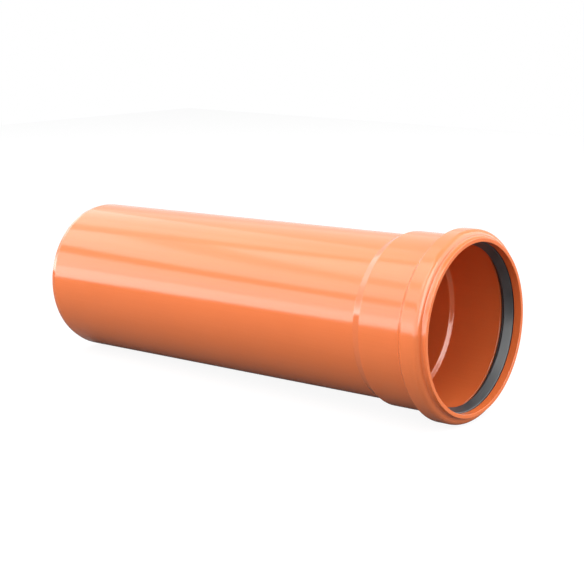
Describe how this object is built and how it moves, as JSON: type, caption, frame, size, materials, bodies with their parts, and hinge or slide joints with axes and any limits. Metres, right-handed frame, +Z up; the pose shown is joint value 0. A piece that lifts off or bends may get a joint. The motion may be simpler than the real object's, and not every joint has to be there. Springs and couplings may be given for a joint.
{
  "type": "sewer pipe",
  "caption": "Straight plastic sewer pipe with a plain chamfered spigot at one end and a beaded push-fit socket with a rubber lip seal at the other.",
  "frame": {"origin": "on the floor, under the middle of the pipe's box", "axes": "+X along the pipe towards its socket, level, so the pipe's own axis rises 1.4 degrees towards the socket; +Z up"},
  "size_m": [0.5038, 0.1828, 0.1832],
  "materials": {
    "pvc_orange_brown": "satin",
    "seal_rubber": "matte"
  },
  "bodies": {
    "root": {"pipe": "pvc_orange_brown", "seal_ring": "seal_rubber"}
  },
  "joints": []
}
